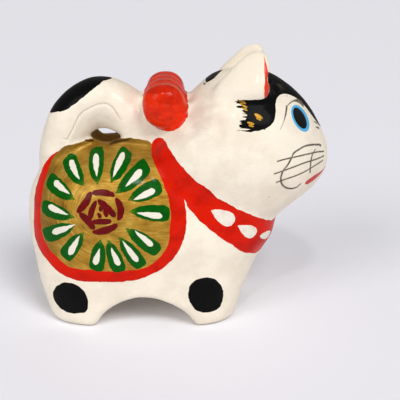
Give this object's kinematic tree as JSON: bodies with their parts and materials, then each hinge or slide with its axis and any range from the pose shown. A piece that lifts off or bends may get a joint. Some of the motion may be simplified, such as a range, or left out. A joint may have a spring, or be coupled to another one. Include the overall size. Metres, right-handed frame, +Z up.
{
  "type": "papier-mache dog",
  "caption": "Standing papier-mache toy dog with an arched tail, a pleated bow at the nape, a painted saddle cloth with a flower and a red collar.",
  "frame": {"origin": "on the ground under the middle of the dog's box", "axes": "+X towards the muzzle, +Y towards the dog's left side, +Z up"},
  "size_m": [0.1374, 0.0748, 0.12],
  "materials": {
    "painted_paper": "white gesso on pasted paper, painted in red, gold, green and black, satin"
  },
  "bodies": {
    "root": {"dog": "painted_paper"}
  },
  "joints": []
}
